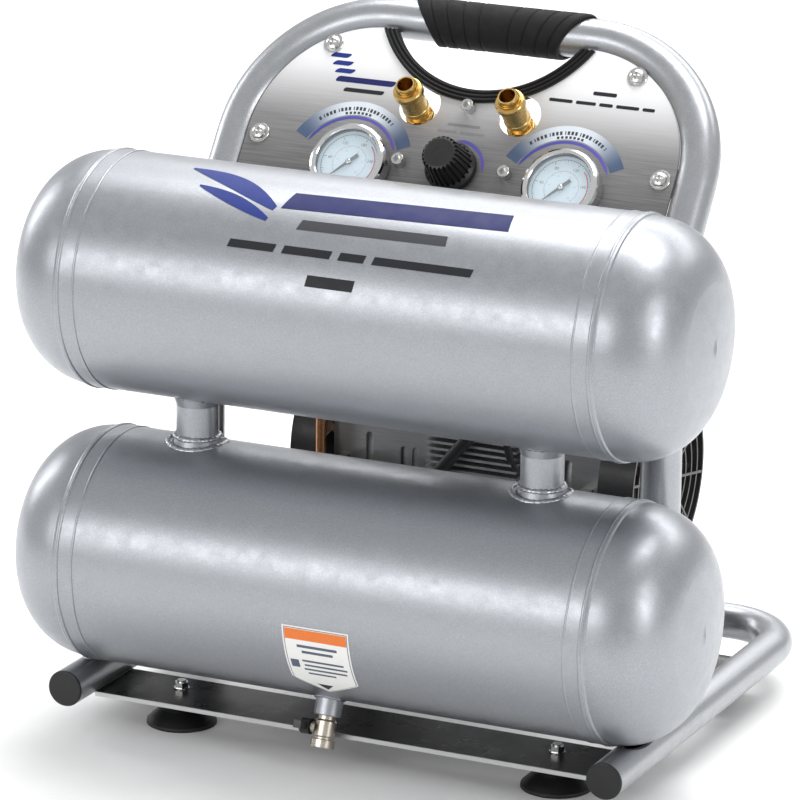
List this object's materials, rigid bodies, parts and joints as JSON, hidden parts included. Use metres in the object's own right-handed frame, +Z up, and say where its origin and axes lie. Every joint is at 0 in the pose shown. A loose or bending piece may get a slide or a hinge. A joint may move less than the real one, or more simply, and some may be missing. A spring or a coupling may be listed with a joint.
{
  "type": "air compressor",
  "caption": "Portable air compressor with stacked tanks, tube carry frame, gauge and regulator panel, quick couplers and a motor-driven piston pump.",
  "frame": {"origin": "on the ground plane under the middle of the bounding box", "axes": "+X along the tanks to the right seen from the gauge side, +Y to the rear (pump side), +Z up"},
  "size_m": [0.4862, 0.3788, 0.4743],
  "materials": {
    "silver_paint": "silver fine-flake hammered enamel, semi-gloss",
    "black_paint": "black enamel, glossy",
    "black_rubber": "black moulded rubber, satin",
    "black_foam": "black foam rubber, matt",
    "black_plastic": "black moulded plastic, satin",
    "red_plastic": "red moulded plastic",
    "brushed_panel": "brushed stainless sheet",
    "zinc_steel": "bright zinc plated steel",
    "nickel": "nickel plated brass, satin",
    "cast_aluminium": "cast and drawn aluminium, satin",
    "dark_iron": "laminated stator iron",
    "chrome": "polished chrome",
    "dial_white": "pale printed dial card",
    "needle_black": "black painted pointer",
    "clear_glass": "clear lens",
    "brass": "machined brass",
    "copper": "copper tube, dull"
  },
  "bodies": {
    "frame": {"base_end_caps": "black_rubber", "base_frame_tube": "silver_paint", "control_panel": "brushed_panel", "cord_gland": "black_plastic", "coupler_bodies": "brass", "crankcases": "cast_aluminium", "cylinder_heads": "cast_aluminium", "discharge_tubes": "copper", "drain_valve_body": "nickel", "fan_guards": "black_plastic", "foot_fasteners": "zinc_steel", "frame_weld_brackets": "silver_paint", "front_foot_plate": "black_paint", "gauge_bezels": "chrome", "gauge_cases": "black_plastic", "gauge_dials": "dial_white", "gauge_lenses": "clear_glass", "handle_frame_tube": "silver_paint", "handle_grip": "black_foam", "lower_tank_heads": "silver_paint", "lower_tank_shell": "silver_paint", "manifold_block": "cast_aluminium", "motor_housing": "cast_aluminium", "motor_stator": "dark_iron", "panel_edge_trim": "black_rubber", "panel_screws": "zinc_steel", "pressure_switch_base": "black_plastic", "pressure_switch_cover": "black_plastic", "pump_carrier": "black_paint", "pump_cylinders": "cast_aluminium", "pump_rubber_mounts": "black_rubber", "pump_side_plate": "brushed_panel", "pump_tie_rail": "black_paint", "rear_foot_plate": "black_paint", "regulator_bonnet": "cast_aluminium", "relief_valve_body": "brass", "rubber_feet": "black_rubber", "run_capacitor": "cast_aluminium", "shaft_bearings": "zinc_steel", "tank_feed_tube": "cast_aluminium", "tank_fittings": "brass", "tank_link_pipes": "silver_paint", "upper_tank_heads": "silver_paint", "upper_tank_shell": "silver_paint", "wire_harness": "black_rubber"},
    "regulator_stem": {"regulator_stem": "zinc_steel"},
    "regulator_knob": {"regulator_knob": "black_plastic"},
    "tank_needle": {"tank_gauge_needle": "needle_black"},
    "line_needle": {"line_gauge_needle": "needle_black"},
    "sleeve_left": {"coupler_sleeve_left": "brass"},
    "sleeve_right": {"coupler_sleeve_right": "brass"},
    "drain_handle": {"drain_valve_handle": "black_plastic", "drain_valve_ball": "nickel"},
    "rotor": {"rotor_shaft": "zinc_steel", "cooling_fans": "black_plastic"},
    "piston_left": {"piston_rod_left": "cast_aluminium"},
    "piston_right": {"piston_rod_right": "cast_aluminium"},
    "switch_button": {"pressure_switch_button": "red_plastic"},
    "relief_ring": {"relief_valve_ring": "zinc_steel"},
    "reset_button": {"thermal_reset_button": "red_plastic"}
  },
  "joints": [
    {"name": "regulator_turn", "type": "hinge", "parent": "frame", "child": "regulator_stem", "pos_m": [0, 0.02241, 0.37459], "axis": [0, 0.807, -0.5906], "range_deg": [0, 1350]},
    {"name": "regulator_knob_pull", "type": "slide", "parent": "regulator_stem", "child": "regulator_knob", "axis": [0, -0.807, 0.5906], "range_m": [0, 0.003]},
    {"name": "tank_gauge_needle_turn", "type": "hinge", "parent": "frame", "child": "tank_needle", "pos_m": [-0.0725, 0.01157, 0.37434], "axis": [0, 0.807, -0.5906], "range_deg": [0, 270]},
    {"name": "line_gauge_needle_turn", "type": "hinge", "parent": "frame", "child": "line_needle", "pos_m": [0.0835, 0.01157, 0.37434], "axis": [0, 0.807, -0.5906], "range_deg": [0, 270]},
    {"name": "coupler_sleeve_left_slide", "type": "slide", "parent": "frame", "child": "sleeve_left", "axis": [0, 0.6756, -0.7373], "range_m": [0, 0.004], "stiffness_N_per_m": 1500, "springref_m": -0.002},
    {"name": "coupler_sleeve_right_slide", "type": "slide", "parent": "frame", "child": "sleeve_right", "axis": [0, 0.6756, -0.7373], "range_m": [0, 0.004], "stiffness_N_per_m": 1500, "springref_m": -0.002},
    {"name": "drain_handle_turn", "type": "hinge", "parent": "frame", "child": "drain_handle", "pos_m": [-0.01, -0.14625, 0.02932], "axis": [1, 0, 0], "range_deg": [0, 90]},
    {"name": "motor_spin", "type": "hinge", "parent": "frame", "child": "rotor", "pos_m": [0, 0.1044, 0.1535], "axis": [1, 0, 0], "continuous": true},
    {"name": "piston_right_stroke", "type": "slide", "parent": "frame", "child": "piston_right", "axis": [0, 0, -1], "range_m": [0, 0.018]},
    {"name": "piston_left_stroke", "type": "slide", "parent": "frame", "child": "piston_left", "axis": [0, 0, 1], "range_m": [0, 0.018]},
    {"name": "switch_button_press", "type": "slide", "parent": "frame", "child": "switch_button", "axis": [0, -0.807, 0.5906], "range_m": [0, 0.004]},
    {"name": "relief_ring_pull", "type": "slide", "parent": "frame", "child": "relief_ring", "axis": [0, 0.807, -0.5906], "range_m": [0, 0.004], "stiffness_N_per_m": 2000, "springref_m": -0.002},
    {"name": "reset_button_press", "type": "slide", "parent": "frame", "child": "reset_button", "axis": [0, -1, 0], "range_m": [0, 0.002], "stiffness_N_per_m": 1500, "springref_m": -0.001}
  ],
  "couplings": [
    {"joint": "piston_left_stroke", "follows": "piston_right_stroke", "ratio": 1}
  ]
}
